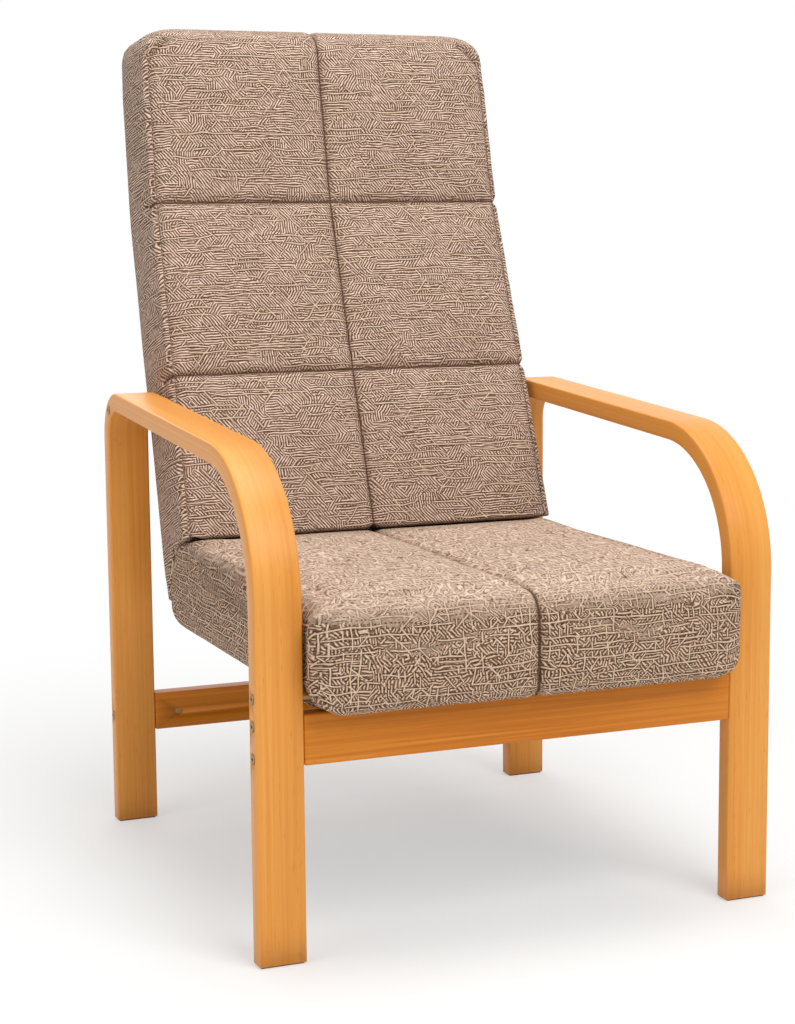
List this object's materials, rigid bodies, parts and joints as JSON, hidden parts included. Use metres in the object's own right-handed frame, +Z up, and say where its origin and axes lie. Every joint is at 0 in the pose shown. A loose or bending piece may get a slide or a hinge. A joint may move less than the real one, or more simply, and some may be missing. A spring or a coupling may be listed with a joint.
{
  "type": "fireside armchair with bent laminated arm frames",
  "caption": "High-back fireside armchair: two bent laminated beech arm frames on rails carry an upholstered seat and a bent back sewn into padded panels.",
  "frame": {"origin": "on the floor, midway across the chair and midway between its frontmost and rearmost points", "axes": "+Z up; +X to the right as seen from in front; the chair faces -Y"},
  "size_m": [0.6416, 0.8218, 1.0613],
  "materials": {
    "beech": "honey satin lacquer, fine grain along the strip",
    "chenille": "cream raised lines on a brown ground, matte",
    "plywood": "unfinished board",
    "zinc_steel": "dull zinc plate",
    "brass": "plain",
    "spring_steel": "drawn wire",
    "webbing": "woven elastic band",
    "foam": "open-cell polyether foam",
    "lining": "black non-woven lining",
    "glide_plastic": "dark, matte"
  },
  "bodies": {
    "root": {"front_rail": "beech", "rear_rail": "beech", "left_arm_frame": "beech", "right_arm_frame": "beech", "left_front_glide": "glide_plastic", "left_rear_glide": "glide_plastic", "right_front_glide": "glide_plastic", "right_rear_glide": "glide_plastic", "left_front_rail_upper_bolt": "zinc_steel", "left_front_rail_lower_bolt": "zinc_steel", "left_seat_bolt": "zinc_steel", "left_rear_rail_bolt": "zinc_steel", "left_back_bolt": "zinc_steel", "right_front_rail_upper_bolt": "zinc_steel", "right_front_rail_lower_bolt": "zinc_steel", "right_seat_bolt": "zinc_steel", "right_rear_rail_bolt": "zinc_steel", "right_back_bolt": "zinc_steel", "left_front_rail_upper_barrel_nut": "zinc_steel", "left_front_rail_lower_barrel_nut": "zinc_steel", "left_rear_rail_barrel_nut": "zinc_steel", "right_front_rail_upper_barrel_nut": "zinc_steel", "right_front_rail_lower_barrel_nut": "zinc_steel", "right_rear_rail_barrel_nut": "zinc_steel", "left_seat_sleeve": "zinc_steel", "left_back_sleeve": "zinc_steel", "right_seat_sleeve": "zinc_steel", "right_back_sleeve": "zinc_steel", "left_seat_insert": "brass", "left_back_insert": "brass", "right_seat_insert": "brass", "right_back_insert": "brass", "left_rear_rail_dowel": "beech", "right_rear_rail_dowel": "beech", "left_side_board": "plywood", "right_side_board": "plywood", "seat_front_member": "plywood", "seat_rear_member": "plywood", "back_lower_rail": "plywood", "back_upper_rail": "plywood", "seat_spring_1": "spring_steel", "seat_spring_2": "spring_steel", "seat_spring_3": "spring_steel", "seat_spring_4": "spring_steel", "seat_spring_5": "spring_steel", "back_webbing_1": "webbing", "back_webbing_2": "webbing", "back_webbing_3": "webbing", "back_webbing_4": "webbing", "seat_foam": "foam", "back_foam": "foam", "seat_upholstery": "chenille", "back_upholstery": "chenille", "back_rear_cover": "chenille", "seat_dust_cover": "lining"}
  },
  "joints": []
}
